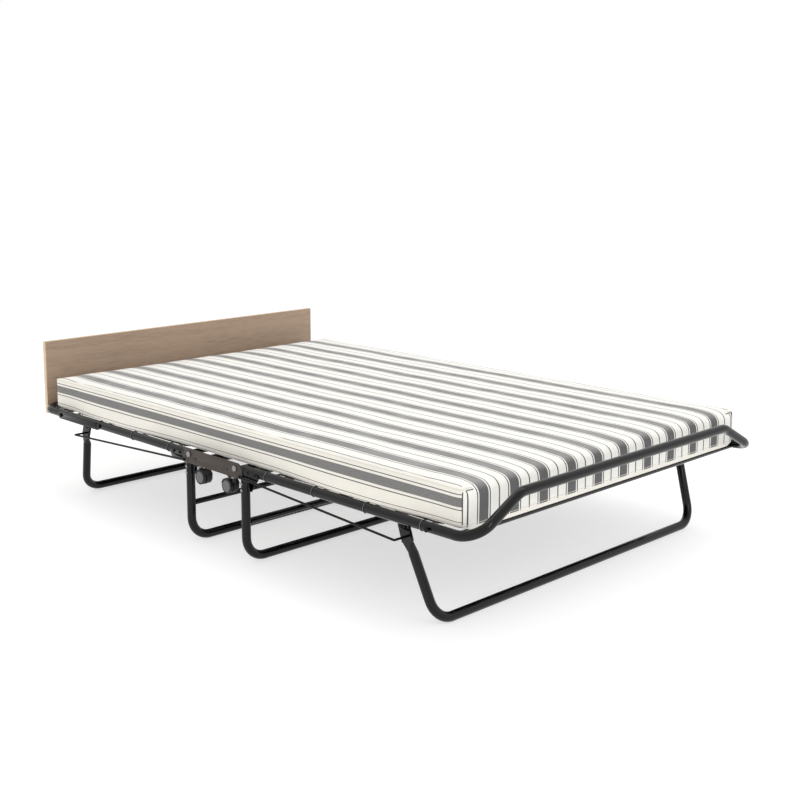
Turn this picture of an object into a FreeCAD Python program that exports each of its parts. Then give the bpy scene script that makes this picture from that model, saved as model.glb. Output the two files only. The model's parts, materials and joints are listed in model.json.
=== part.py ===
"""Rollaway bed: a centre carriage on casters, two folding frames, legs, links, latches and a mattress."""
import FreeCAD, Part
import math
import os
import Sketcher

Vector = FreeCAD.Vector
X_AXIS = Vector(1, 0, 0)
Y_AXIS = Vector(0, 1, 0)
Z_AXIS = Vector(0, 0, 1)

os.makedirs("parts", exist_ok=True)
doc = FreeCAD.newDocument("RollawayBed")

# ---------------------------------------------------------------- driving dimensions, in millimetres
DIMENSIONS = [
    ("carriage_x", 9.5, "middle of the carriage, measured from the middle of the bed"),
    ("pivot_reach", 105, "frame pivot from the middle of the carriage"),
    ("pivot_height", 264, "frame pivot above the floor"),
    ("rail_y", 595, "side rail centre line from the middle plane"),
    ("rail_height", 260, "side rail centre line above the floor"),
    ("tube_radius", 12.5, "frame and leg tube, outside"),
    ("tube_wall", 1.2, "frame and leg tube wall"),
    ("floor_flat", 0.2, "depth of the flat that each floor bar rests on"),
    ("tube_bend", 60, "bend radius of the frame and leg tubes, on the centre line"),
    ("small_tube_radius", 8, "cross tube and brace, outside"),
    ("cross_tube_height", 253.5, "frame cross tubes above the floor"),
    ("rail_start", 122, "hinge end of the side rails from the middle of the carriage"),
    ("head_end_reach", 951, "end tube of the head frame"),
    ("foot_end_reach", 948, "end bar of the foot frame"),
    ("bar_rise", 81, "raised mattress bar above the side rails"),
    ("bar_half_width", 440, "where the raised bar starts to drop"),
    ("cross_tube_reach", 880, "cross tube near the end of each frame"),
    ("inner_tube_reach", 150, "cross tube near the hinge of each frame"),
    ("plate_inner_y", 611, "inner face of the centre plates"),
    ("plate_thickness", 3, "centre plate"),
    ("plate_half_length", 135, "centre plate"),
    ("plate_bottom", 238, "centre plate lower edge above the floor"),
    ("plate_top", 280, "centre plate upper edge above the floor"),
    ("link_pin_reach", 125, "link rod hole in the centre plate"),
    ("link_pin_height", 245, "link rod hole above the floor"),
    ("link_rod_y", 618, "link rod centre line from the middle plane"),
    ("link_rod_radius", 3, "link rod"),
    ("carriage_tube_reach", 75, "carriage cross tubes and caster stems"),
    ("carriage_tube_height", 245, "carriage cross tubes above the floor"),
    ("caster_y", 596, "caster stem from the middle plane"),
    ("caster_trail", 14, "wheel axle from the stem"),
    ("wheel_height", 205, "caster axle above the floor while the bed is open"),
    ("wheel_radius", 20, "caster wheel"),
    ("centre_leg_reach", 126, "centre leg tube from the middle of the carriage"),
    ("centre_leg_pivot_reach", 139, "centre leg pivot from the middle of the carriage"),
    ("centre_leg_pivot_height", 230, "centre leg pivot above the floor"),
    ("centre_leg_top", 245, "upper end of the centre leg tubes"),
    ("brace_height", 115, "centre leg brace above the floor"),
    ("end_leg_reach", 708, "end leg pivot from the middle of the carriage"),
    ("end_leg_height", 240, "end leg pivot above the floor"),
    ("end_leg_top_y", 577, "end leg arm at its pivot"),
    ("end_leg_foot_y", 545, "end leg arm at the floor"),
    ("end_leg_splay", 78, "how far the floor bar stands outside the pivot"),
    ("link_hole_drop", 29.03, "link rod hole below the end leg pivot, along the leg"),
    ("latch_reach", 814.5, "latch pivot from the middle of the carriage"),
    ("latch_length", 218, "latch pivot to latch stud, with the bed folded"),
    ("latch_half_width", 12, "latch arm"),
    ("deck_inner_reach", 200, "hinge end of the deck panel"),
    ("deck_outer_reach", 812, "outer end of the deck panel"),
    ("deck_half_width", 548, "deck wire centre line"),
    ("deck_height", 257, "deck wire above the floor"),
    ("deck_wire_radius", 2.5, "deck wire"),
    ("mattress_half_width", 594, "mattress"),
    ("mattress_bottom", 263, "mattress underside between the rails"),
    ("mattress_over_rail", 273.6, "mattress underside over the rails"),
    ("mattress_top", 367, "mattress top above the floor"),
    ("mattress_reach", 900, "mattress end from the middle of the carriage"),
    ("mattress_fold", 213, "half the length of the stretch that folds"),
    ("board_half_width", 574, "headboard"),
    ("board_thickness", 16, "headboard"),
    ("board_bottom", 235, "headboard lower edge above the floor"),
    ("board_top", 475, "headboard upper edge above the floor"),
]

sheet = doc.addObject("Spreadsheet::Sheet", "Dims")
for row, (alias, size, meaning) in enumerate(DIMENSIONS, start=1):
    sheet.set(f"A{row}", alias)
    sheet.set(f"B{row}", str(size))
    sheet.set(f"C{row}", meaning)
    sheet.setAlias(f"B{row}", alias)
doc.recompute()

SIDES = {"left": 1, "right": -1}
ENDS = {"head": -1, "foot": 1}
EDGE_SPRINGS = (222, 410, 600, 790)
FLAT_LENGTH = 42
ARM_START = 70
nodes = {}


def dim(alias):
    """A driving dimension as a number."""
    return float(sheet.get(alias))


def bind(item, path, expression):
    """Tie one property of an object to the sheet."""
    item.setExpression(path, expression)


def place(item, x="0", y="0", z="0", turn=None):
    """Put an object at a point given by three sheet expressions, turned first."""
    if turn is not None:
        item.Placement = FreeCAD.Placement(Vector(), turn)
    for axis, expression in zip("xyz", (x, y, z)):
        bind(item, f".Placement.Base.{axis}", expression)
    return item


def keep(label, item):
    """Register an object as a finished sub-part."""
    item.Label = label
    nodes[label] = item
    return item


def reach(end, alias):
    """Expression for a distance along the bed, outwards from the carriage at one end."""
    return f"Dims.carriage_x + {ENDS[end]} * ({alias})"


# ---------------------------------------------------------------- primitives
def box(size, corner, name="Block"):
    """A box of three expressions, with its low corner at three expressions."""
    item = doc.addObject("Part::Box", name)
    for side, expression in zip(("Length", "Width", "Height"), size):
        bind(item, side, expression)
    return place(item, *corner)


def cylinder(radius, length, start, turn=None, name="Pin"):
    """A cylinder from a start point, along Z unless turned."""
    item = doc.addObject("Part::Cylinder", name)
    bind(item, "Radius", radius)
    bind(item, "Height", length)
    return place(item, *start, turn=turn)


TURN_TO_Y = FreeCAD.Rotation(X_AXIS, -90)
TURN_TO_X = FreeCAD.Rotation(Y_AXIS, 90)


def cylinder_y(radius, x, low_y, high_y, z, name="Pin"):
    """A cylinder along Y between two expressions."""
    return cylinder(radius, f"({high_y}) - ({low_y})", (x, low_y, z), TURN_TO_Y, name)


def side_cylinder(side, radius, x, inner_y, outer_y, z):
    """A cylinder along Y on one side, given by its inner and outer distance from the middle plane."""
    if SIDES[side] > 0:
        return cylinder_y(radius, x, inner_y, outer_y, z)
    return cylinder_y(radius, x, f"-({outer_y})", f"-({inner_y})", z)


def fuse(items, name="Joined"):
    """Join touching or overlapping objects."""
    item = doc.addObject("Part::MultiFuse", name)
    item.Shapes = items
    item.Refine = True
    return item


def cut(base, tool, name="Trimmed"):
    """Take one object from another."""
    item = doc.addObject("Part::Cut", name)
    item.Base = base
    item.Tool = tool
    return item


def group(items, name="Group"):
    """Separate solids that share one node."""
    item = doc.addObject("Part::Compound", name)
    item.Links = items
    return item


def tube_y(radius, wall, x, low_y, high_y, z):
    """A hollow tube along Y."""
    outside = cylinder_y(radius, x, low_y, high_y, z)
    inside = cylinder_y(f"({radius}) - ({wall})", x, low_y, high_y, z)
    return cut(outside, inside, "Tube")


# ---------------------------------------------------------------- sketches and bodies
def origin_plane(body, role):
    """One of a body's own origin planes."""
    return next(item for item in body.Origin.OriginFeatures if item.Role == role)


def new_sketch(body, name, role):
    """A sketch attached to one of its body's origin planes."""
    sketch = body.newObject("Sketcher::SketchObject", name)
    sketch.AttachmentSupport = [(origin_plane(body, role), "")]
    sketch.MapMode = "FlatFace"
    return sketch


def bound_constraint(sketch, constraint, expression):
    """Add a dimension to a sketch and tie it to the sheet."""
    index = sketch.addConstraint(constraint)
    sketch.setExpression(f"Constraints[{index}]", expression)


def evaluate(expression):
    """Value of a sheet expression, so that geometry is drawn where it will be held."""
    result = sheet.evalExpression(expression)
    return float(getattr(result, "Value", result))


def pin_point(sketch, geometry, point, across, up):
    """Hold one point of a sketch at two expressions."""
    for kind, expression in (("DistanceX", across), ("DistanceY", up)):
        held = Sketcher.Constraint(kind, -1, 1, geometry, point, evaluate(expression))
        bound_constraint(sketch, held, expression)


def draw_polygon(sketch, corners):
    """A closed outline whose corners are pairs of expressions."""
    points = [Vector(evaluate(across), evaluate(up), 0) for across, up in corners]
    first = sketch.GeometryCount
    count = len(points)
    for number in range(count):
        sketch.addGeometry(Part.LineSegment(points[number], points[(number + 1) % count]), False)
    for number in range(count):
        following = first + (number + 1) % count
        sketch.addConstraint(Sketcher.Constraint("Coincident", first + number, 2, following, 1))
    for number, (across, up) in enumerate(corners):
        pin_point(sketch, first + number, 1, across, up)


def draw_circle(sketch, across, up, radius):
    """A circle with its centre and radius given by expressions."""
    centre = Vector(evaluate(across), evaluate(up), 0)
    number = sketch.addGeometry(Part.Circle(centre, Z_AXIS, evaluate(radius)), False)
    pin_point(sketch, number, 3, across, up)
    bound_constraint(sketch, Sketcher.Constraint("Radius", number, evaluate(radius)), radius)


def side_plate(side, corners, holes, inner_y, thickness, name="Plate"):
    """A flat plate parallel to the side of the bed, from an outline in X and Z, with round holes."""
    body = doc.addObject("PartDesign::Body", name)
    sketch = new_sketch(body, name + "Outline", "XZ_Plane")
    draw_polygon(sketch, corners)
    for across, up, radius in holes:
        draw_circle(sketch, across, up, radius)
    pad = body.newObject("PartDesign::Pad", name + "Pad")
    pad.Profile = sketch
    bind(pad, "Length", thickness)
    outer_y = f"({inner_y}) + ({thickness})"
    high_y = outer_y if SIDES[side] > 0 else f"-({inner_y})"
    return place(body, y=high_y)


def draw_u_path(sketch, top_half, foot_half, depth, bend):
    """A U of three straight runs and two bends, open at the top, on the sketch's own axes."""
    top = evaluate(top_half)
    foot = evaluate(foot_half)
    low = evaluate(depth)
    radius = evaluate(bend)
    lean = math.atan2(top - foot, low)
    tangent = radius * math.tan((math.pi / 2 - lean) / 2)
    arm_end = Vector(-foot - tangent * math.sin(lean), -low + tangent * math.cos(lean), 0)
    bar_end = Vector(-foot + tangent, -low, 0)
    centre = Vector(bar_end.x, -low + radius, 0)

    def mirrored(point):
        return Vector(-point.x, point.y, 0)

    start_angle = math.pi + lean
    left = Part.ArcOfCircle(Part.Circle(centre, Z_AXIS, radius), start_angle, 1.5 * math.pi)
    right = Part.ArcOfCircle(Part.Circle(mirrored(centre), Z_AXIS, radius), -0.5 * math.pi, -lean)
    runs = [
        Part.LineSegment(Vector(-top, 0, 0), arm_end),
        left,
        Part.LineSegment(bar_end, mirrored(bar_end)),
        right,
        Part.LineSegment(mirrored(arm_end), Vector(top, 0, 0)),
    ]
    for run in runs:
        sketch.addGeometry(run, False)
    for number in range(4):
        sketch.addConstraint(Sketcher.Constraint("Tangent", number, 2, number + 1, 1))
    pin_point(sketch, 0, 1, f"-({top_half})", "0")
    pin_point(sketch, 4, 2, top_half, "0")
    for number in (1, 3):
        bound_constraint(sketch, Sketcher.Constraint("Radius", number, radius), bend)
    lowest = Sketcher.Constraint("DistanceY", -1, 1, 2, 1, -low)
    bound_constraint(sketch, lowest, f"-({depth})")
    sketch.addConstraint(Sketcher.Constraint("Horizontal", 2))
    straight = Sketcher.Constraint("DistanceX", 2, 1, 2, 2, -2 * bar_end.x)
    lean_text = f"atan(({top_half} - {foot_half}) / ({depth}))"
    straight_text = f"2 * ({foot_half} - {bend} * tan((90 deg - {lean_text}) / 2))"
    bound_constraint(sketch, straight, straight_text)


def u_tube(top_half, foot_half, depth, radius, name="UTube"):
    """A bent tube: a U in its own XZ plane, hanging down from two open ends at height zero."""
    body = doc.addObject("PartDesign::Body", name)
    path = new_sketch(body, name + "Path", "XZ_Plane")
    draw_u_path(path, top_half, foot_half, depth, "Dims.tube_bend")
    profile = new_sketch(body, name + "Profile", "XY_Plane")
    for size in (radius, f"{radius} - Dims.tube_wall"):
        draw_circle(profile, f"-({top_half})", "0", size)
    doc.recompute()
    pipe = body.newObject("PartDesign::AdditivePipe", name + "Pipe")
    pipe.Profile = profile
    pipe.Spine = (path, [f"Edge{number}" for number in range(1, 6)])
    return body


# ---------------------------------------------------------------- curved wires for scripted shapes
def rounded_path(points, bend):
    """A wire through points, with an arc of one radius at each inner corner."""
    edges = []
    start = points[0]
    for before, corner, after in zip(points, points[1:], points[2:]):
        back = (before - corner).normalize()
        ahead = (after - corner).normalize()
        half_turn = back.getAngle(ahead) / 2
        run = bend / math.tan(half_turn)
        enter = corner + back * run
        leave = corner + ahead * run
        bisector = (back + ahead).normalize()
        middle = corner + bisector * (bend / math.sin(half_turn) - bend)
        edges.append(Part.LineSegment(start, enter).toShape())
        edges.append(Part.Arc(enter, middle, leave).toShape())
        start = leave
    edges.append(Part.LineSegment(start, points[-1]).toShape())
    return Part.Wire(edges)


def swept(points, bend, radius, wall=0):
    """A round bar, or a tube when it has a wall, along a rounded path."""
    path = rounded_path(points, bend)
    direction = points[1] - points[0]

    def along(size):
        section = Part.Wire(Part.Circle(points[0], direction, size).toShape())
        return path.makePipeShell([section], True, True)

    if wall:
        return along(radius).cut(along(radius - wall))
    return along(radius)


def scripted(label, shape):
    """A feature whose shape is set here, from sizes in the sheet."""
    item = doc.addObject("Part::Feature", "Scripted")
    item.Shape = shape
    item.Placement = FreeCAD.Placement()
    return keep(label, item)


# ---------------------------------------------------------------- centre carriage
def centre_plate(side):
    """Side plate with a hollowed corner, a chamfer, frame pivot holes, link holes and two small holes."""
    corners = [
        (f"Dims.carriage_x - ({across})", up) for across, up in (
            ("Dims.plate_half_length + 3", "Dims.plate_bottom + 10"),
            ("Dims.plate_half_length - 2", "Dims.plate_bottom"),
            ("-Dims.plate_half_length", "Dims.plate_bottom"),
            ("-Dims.plate_half_length", "Dims.plate_top - 16"),
            ("-Dims.plate_half_length + 16", "Dims.plate_top"),
            ("Dims.plate_half_length", "Dims.plate_top"),
            ("Dims.plate_half_length - 5", "Dims.plate_top - 7"),
            ("Dims.plate_half_length - 5", "Dims.plate_top - 16"),
            ("Dims.plate_half_length + 1", "Dims.plate_top - 26"),
        )
    ]
    holes = []
    for end in ENDS:
        holes.append((reach(end, "Dims.pivot_reach"), "Dims.pivot_height", "5.05"))
        holes.append((reach(end, "Dims.link_pin_reach"), "Dims.link_pin_height",
                      "Dims.link_rod_radius + 0.05"))
        holes.append((reach(end, "Dims.pivot_reach - 32"), "Dims.pivot_height - 8", "3"))
    plate = side_plate(side, corners, holes, "Dims.plate_inner_y", "Dims.plate_thickness", "CentrePlate")
    keep("centre_plate_" + side, plate)


def carriage_cross_tube(end):
    """Tube that joins the two centre plates."""
    tube = tube_y("Dims.tube_radius", "2", reach(end, "Dims.carriage_tube_reach"),
                  "-Dims.plate_inner_y", "Dims.plate_inner_y", "Dims.carriage_tube_height")
    keep("carriage_cross_tube_" + end, tube)


def carriage_leg_brackets():
    """Four triangular plates on the cross tubes that hold the centre-leg pivots."""
    plates = []
    for end in ENDS:
        for side in SIDES:
            corners = [
                (reach(end, "Dims.carriage_tube_reach + Dims.tube_radius + 0.2"), "256"),
                (reach(end, "Dims.carriage_tube_reach + Dims.tube_radius + 0.2"), "230"),
                (reach(end, "Dims.centre_leg_pivot_reach - 10"), "219"),
                (reach(end, "Dims.centre_leg_pivot_reach + 9"), "219"),
                (reach(end, "Dims.centre_leg_pivot_reach + 12"), "240"),
            ]
            hole = (reach(end, "Dims.centre_leg_pivot_reach"), "Dims.centre_leg_pivot_height", "4.05")
            plates.append(side_plate(side, corners, [hole], "574", "4", "LegBracket"))
    keep("carriage_leg_brackets", group(plates))


def caster_sockets():
    """Four sleeves under the cross tubes for the caster stems."""
    sleeves = []
    top = "Dims.carriage_tube_height - Dims.tube_radius"
    for end in ENDS:
        for sign in SIDES.values():
            start = (reach(end, "Dims.carriage_tube_reach"), f"{sign} * Dims.caster_y", "228.5")
            outside = cylinder("8", f"{top} - 228.5", start)
            inside = cylinder("4.05", f"{top} - 228.5", start)
            sleeves.append(cut(outside, inside, "Sleeve"))
    keep("caster_sockets", group(sleeves))


def pivot_bolt(side, x, z, radius, shank, head, nut=None):
    """A bolt along Y with a round head outside and, where it has one, a nut inside."""
    pieces = [side_cylinder(side, radius, x, *shank, z)]
    pieces.append(side_cylinder(side, f"{radius} * 1.7", x, *head, z))
    if nut:
        pieces.append(side_cylinder(side, f"{radius} * 1.7", x, *nut, z))
    return fuse(pieces, "Bolt")


def every_side(maker):
    """The same piece at both sides."""
    return [maker(side) for side in SIDES]


def carriage_bolts():
    """Pivot bolts of the frames and of the centre legs."""
    frame_bolts = []
    leg_bolts = []
    for end in ENDS:
        for side in SIDES:
            frame_bolts.append(pivot_bolt(
                side, reach(end, "Dims.pivot_reach"), "Dims.pivot_height", "5",
                ("603", "Dims.plate_inner_y + Dims.plate_thickness + 4"),
                ("Dims.plate_inner_y + Dims.plate_thickness",
                 "Dims.plate_inner_y + Dims.plate_thickness + 4"),
                ("603", "607.2")))
            leg_bolts.append(pivot_bolt(
                side, reach(end, "Dims.centre_leg_pivot_reach"), "Dims.centre_leg_pivot_height", "4",
                ("570", "582.2"), ("570", "573.8")))
    keep("frame_pivot_bolts", group(frame_bolts))
    keep("centre_leg_pivot_bolts", group(leg_bolts))


# ---------------------------------------------------------------- frames
def head_frame_tube():
    """Side rails and end tube of the head frame, one bent tube."""
    depth = "(Dims.head_end_reach - Dims.rail_start)"
    tube = u_tube("Dims.rail_y", "Dims.rail_y", depth, "Dims.tube_radius", "HeadFrame")
    lying = FreeCAD.Rotation(Y_AXIS, Z_AXIS, X_AXIS, "ZXY")
    place(tube, reach("head", "Dims.rail_start"), "0", "Dims.rail_height", lying)
    keep("head_frame_tube", tube)


def foot_frame_tube():
    """Side rails of the foot frame, whose end climbs to a raised bar that holds the mattress."""
    start_x = dim("carriage_x") + dim("rail_start")
    end_x = dim("carriage_x") + dim("foot_end_reach")
    rail_y = dim("rail_y")
    bar_y = dim("bar_half_width")
    low = dim("rail_height")
    high = low + dim("bar_rise")
    points = [
        Vector(start_x, -rail_y, low),
        Vector(end_x, -rail_y, low),
        Vector(end_x, -bar_y, high),
        Vector(end_x, bar_y, high),
        Vector(end_x, rail_y, low),
        Vector(start_x, rail_y, low),
    ]
    scripted("foot_frame_tube", swept(points, dim("tube_bend"), dim("tube_radius"), dim("tube_wall")))


def frame_cross_tubes(end):
    """The two straight tubes between the side rails of one frame."""
    for name, distance in (("cross", "Dims.cross_tube_reach"), ("inner", "Dims.inner_tube_reach")):
        x = reach(end, distance)
        tube = tube_y("Dims.small_tube_radius", "Dims.tube_wall", x, "5 - Dims.rail_y", "Dims.rail_y - 5",
                      "Dims.cross_tube_height")
        rails = []
        for sign in SIDES.values():
            start = (f"{x} - 30", f"{sign} * Dims.rail_y", "Dims.rail_height")
            rails.append(cylinder("Dims.tube_radius", "60", start, TURN_TO_X))
        keep(f"{end}_{name}_tube", cut(tube, fuse(rails), "CrossTube"))


def hinge_gussets(end):
    """Plates welded outside the rails that carry the frame pivot, with two rivet heads each."""
    offsets = (("-12", "-12"), ("-12", "10"), ("-4", "14"), ("10", "14"), ("34", "2"),
               ("90", "-2"), ("96", "-12"), ("90", "-22"), ("14", "-25"), ("-2", "-17"))
    corners = [(reach(end, f"Dims.pivot_reach + ({out})"), f"Dims.pivot_height + ({up})")
               for out, up in offsets]
    hole = (reach(end, "Dims.pivot_reach"), "Dims.pivot_height", "5.05")
    inner_y = "Dims.rail_y + Dims.tube_radius"
    plates = [side_plate(side, corners, [hole], inner_y, "3", "Gusset") for side in SIDES]
    keep(f"{end}_hinge_gussets", group(plates))
    rivets = []
    for side in SIDES:
        for out in (50, 80):
            rivets.append(side_cylinder(side, "4.5", reach(end, f"Dims.pivot_reach + {out}"),
                                        f"{inner_y} + 3", f"{inner_y} + 5.5", "Dims.rail_height"))
    keep(f"{end}_gusset_rivets", group(rivets))


def end_leg_brackets(end):
    """Tabs under the rails and the bolts that the end leg turns on."""
    x = reach(end, "Dims.end_leg_reach")
    tabs = []
    bolts = []
    for side in SIDES:
        low_y = "582" if SIDES[side] > 0 else "-586"
        upper = box(("22", "4", "11.2"), (f"{x} - 11", low_y, "Dims.end_leg_height"))
        lower = side_cylinder(side, "11", x, "582", "586", "Dims.end_leg_height")
        hole = side_cylinder(side, "4", x, "582", "586", "Dims.end_leg_height")
        tabs.append(cut(fuse([upper, lower]), hole, "LegTab"))
        bolts.append(pivot_bolt(side, x, "Dims.end_leg_height", "4", ("569", "589.5"),
                                ("586", "589.5"), ("569", "572.7")))
    keep(f"{end}_leg_brackets", group(tabs))
    keep(f"{end}_leg_pivot_bolts", group(bolts))


def deck(end):
    """Woven deck panel: a wire round its edge, the mesh on it and springs to the side rails."""
    near = dim("carriage_x") + ENDS[end] * dim("deck_inner_reach")
    far = dim("carriage_x") + ENDS[end] * dim("deck_outer_reach")
    half = dim("deck_half_width")
    level = dim("deck_height")
    middle = (near + far) / 2
    loop = [Vector(middle, -half, level), Vector(far, -half, level), Vector(far, half, level),
            Vector(near, half, level), Vector(near, -half, level), Vector(middle, -half, level)]
    scripted(f"{end}_deck_wire", swept(loop, 25, dim("deck_wire_radius")))

    low_x = reach(end, "Dims.deck_inner_reach" if end == "foot" else "Dims.deck_outer_reach")
    mesh = box(("Dims.deck_outer_reach - Dims.deck_inner_reach", "2 * Dims.deck_half_width", "1.2"),
               (low_x, "-Dims.deck_half_width", "Dims.deck_height + Dims.deck_wire_radius + 0.1"))
    keep(f"{end}_deck_mesh", mesh)

    springs = []
    for side in SIDES:
        for out in EDGE_SPRINGS:
            springs.append(side_cylinder(side, "4.5", reach(end, str(out)), "Dims.deck_half_width + 2.8",
                                         "Dims.rail_y - Dims.tube_radius - 0.5", "Dims.deck_height"))
    keep(f"{end}_deck_springs", group(springs))


def headboard():
    """The plain board, two angle brackets on the end tube and four screws."""
    face = "Dims.carriage_x - Dims.head_end_reach - Dims.tube_radius"
    panel = box(("Dims.board_thickness", "2 * Dims.board_half_width", "Dims.board_top - Dims.board_bottom"),
                (f"{face} - Dims.board_thickness", "-Dims.board_half_width", "Dims.board_bottom"))
    rest = "Dims.rail_height + Dims.tube_radius"
    brackets = []
    screws = []
    for sign in SIDES.values():
        low_y = f"{sign * 400} - 20"
        upright = box(("3", "40", "45"), (face, low_y, rest))
        foot = box(("24", "40", "3"), (face, low_y, rest))
        bracket = fuse([upright, foot])
        for up in (18, 34):
            start = (f"{face} - 10", str(sign * 400), f"{rest} + {up}")
            bracket = cut(bracket, cylinder("2", "20", start, TURN_TO_X))
            panel = cut(panel, cylinder("2", "20", start, TURN_TO_X))
            shank = cylinder("2", "15", start, TURN_TO_X)
            head = cylinder("4", "2", (f"{face} + 3", start[1], start[2]), TURN_TO_X)
            screws.append(fuse([shank, head], "Screw"))
        brackets.append(bracket)
    keep("headboard_panel", panel)
    keep("headboard_brackets", group(brackets))
    keep("headboard_screws", group(screws))


# ---------------------------------------------------------------- mattress
def mattress_piece(label, low_x, high_x):
    """One stretch of the mattress: a block that lies on the rails and sinks a little between them."""
    length = f"({high_x}) - ({low_x})"
    over = box((length, "2 * Dims.mattress_half_width", "Dims.mattress_top - Dims.mattress_over_rail"),
               (low_x, "-Dims.mattress_half_width", "Dims.mattress_over_rail"))
    between = "Dims.rail_y - Dims.tube_radius - 1"
    sunk = box((length, f"2 * ({between})", "Dims.mattress_over_rail - Dims.mattress_bottom"),
               (low_x, f"-({between})", "Dims.mattress_bottom"))
    keep(label, fuse([over, sunk], "Mattress"))


def mattress():
    """Two folding halves and the stretch between them."""
    gap = "Dims.mattress_fold + 1.5"
    mattress_piece("mattress_head", "Dims.carriage_x - Dims.mattress_reach", f"Dims.carriage_x - ({gap})")
    mattress_piece("mattress_middle", "Dims.carriage_x - Dims.mattress_fold",
                   "Dims.carriage_x + Dims.mattress_fold")
    mattress_piece("mattress_foot", f"Dims.carriage_x + {gap}", "Dims.carriage_x + Dims.mattress_reach")


# ---------------------------------------------------------------- legs
def obround_section(length, width, height):
    """A slot-shaped wire in a level plane, from four quarter curves that match a circle's."""
    straight = (length - width) / 2
    half = width / 2
    right = Part.Arc(Vector(straight, -half, height), Vector(straight + half, 0, height),
                     Vector(straight, half, height)).toShape()
    top = Part.LineSegment(Vector(straight, half, height), Vector(-straight, half, height)).toShape()
    left = Part.Arc(Vector(-straight, half, height), Vector(-straight - half, 0, height),
                    Vector(-straight, -half, height)).toShape()
    low = Part.LineSegment(Vector(-straight, -half, height), Vector(straight, -half, height)).toShape()
    return Part.Wire([right, top, left, low])


def flattened_end(top_y):
    """The pressed-flat upper end of an end leg arm, round at the top, with pivot and link holes."""
    width = 34
    thickness = 8
    neck_radius = dim("tube_radius") - dim("tube_wall") / 2
    flat = Part.makeBox(width, thickness, FLAT_LENGTH, Vector(-width / 2, -thickness / 2, -FLAT_LENGTH))
    cap = Part.makeCylinder(width / 2, thickness, Vector(0, -thickness / 2, 0), Y_AXIS)
    lean = (top_y - dim("end_leg_foot_y")) / end_leg_length()
    sections = [obround_section(width, thickness, -FLAT_LENGTH)]
    for height in (-ARM_START + 4, -ARM_START - 6):
        neck = obround_section(2 * neck_radius + 0.02, 2 * neck_radius, height)
        neck.translate(Vector(0, lean * height, 0))
        sections.append(neck)
    loft = Part.makeLoft(sections, True, True)
    end = flat.fuse([cap, loft])
    pivot_hole = Part.makeCylinder(4.05, 20, Vector(0, -10, 0), Y_AXIS)
    end = end.cut(pivot_hole)
    end.translate(Vector(0, top_y, 0))
    return end


def end_leg_drop():
    """Height of an end leg's pivot above the middle of its floor bar."""
    return dim("end_leg_height") - dim("tube_radius") + dim("floor_flat")


def end_leg_length():
    """Length of an end leg from its pivot to the middle of its floor bar."""
    return math.hypot(end_leg_drop(), dim("end_leg_splay"))


def end_leg(end):
    """A slanted U tube with pressed-flat tops and a flat to stand on."""
    top_y = dim("end_leg_top_y")
    foot_y = dim("end_leg_foot_y")
    length = end_leg_length()
    start_y = top_y - (top_y - foot_y) * ARM_START / length
    points = [Vector(0, -start_y, -ARM_START), Vector(0, -foot_y, -length),
              Vector(0, foot_y, -length), Vector(0, start_y, -ARM_START)]
    tube = swept(points, dim("tube_bend"), dim("tube_radius"), dim("tube_wall"))
    left = flattened_end(top_y)
    right = left.mirror(Vector(), Y_AXIS)
    leg = tube.fuse([left, right])
    slant = math.degrees(math.atan2(dim("end_leg_splay"), end_leg_drop()))
    pivot = Vector(dim("carriage_x") + ENDS[end] * dim("end_leg_reach"), 0, dim("end_leg_height"))
    leaning = FreeCAD.Placement(pivot, FreeCAD.Rotation(Y_AXIS, -ENDS[end] * slant))
    leg = leg.transformed(leaning.toMatrix(), True)
    under_floor = Part.makeBox(4000, 4000, 10, Vector(-2000, -2000, -10))
    scripted(f"{end}_leg_tube", leg.cut(under_floor))


def centre_leg(end):
    """An upright U tube with a flat to stand on, a brace, head plates and two bolts a side."""
    depth = "(Dims.centre_leg_top - Dims.tube_radius + Dims.floor_flat)"
    tube = u_tube("Dims.rail_y", "Dims.rail_y", depth, "Dims.tube_radius", "CentreLeg")
    upright = FreeCAD.Rotation(Z_AXIS, 90)
    place(tube, reach(end, "Dims.centre_leg_reach"), "0", "Dims.centre_leg_top", upright)
    under_floor = box(("100", "2000", "10"), (reach(end, "Dims.centre_leg_reach") + " - 50", "-1000", "-10"))
    keep(f"{end}_centre_leg_tube", cut(tube, under_floor, "CentreLegTube"))

    gap = "Dims.rail_y - Dims.tube_radius"
    brace = tube_y("Dims.small_tube_radius", "Dims.tube_wall", reach(end, "Dims.centre_leg_reach"),
                   f"-({gap})", gap, "Dims.brace_height")
    keep(f"{end}_centre_leg_brace", brace)

    plates = []
    bolts = []
    for side in SIDES:
        corners = [(reach(end, f"Dims.centre_leg_reach + ({out})"), up) for out, up in (
            ("-10", "198"), ("8", "198"), ("24", "222"), ("24", "238"), ("8", "242"), ("-10", "242"))]
        hole = (reach(end, "Dims.centre_leg_pivot_reach"), "Dims.centre_leg_pivot_height", "4.05")
        plates.append(side_plate(side, corners, [hole], "578.4", "4.1", "LegHeadPlate"))
        for up in ("206", "224"):
            bolts.append(side_cylinder(side, "4.5", reach(end, "Dims.centre_leg_reach"),
                                       "Dims.rail_y + Dims.tube_radius", "610.6", up))
    keep(f"{end}_centre_leg_plates", group(plates))
    keep(f"{end}_centre_leg_bolts", group(bolts))


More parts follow.
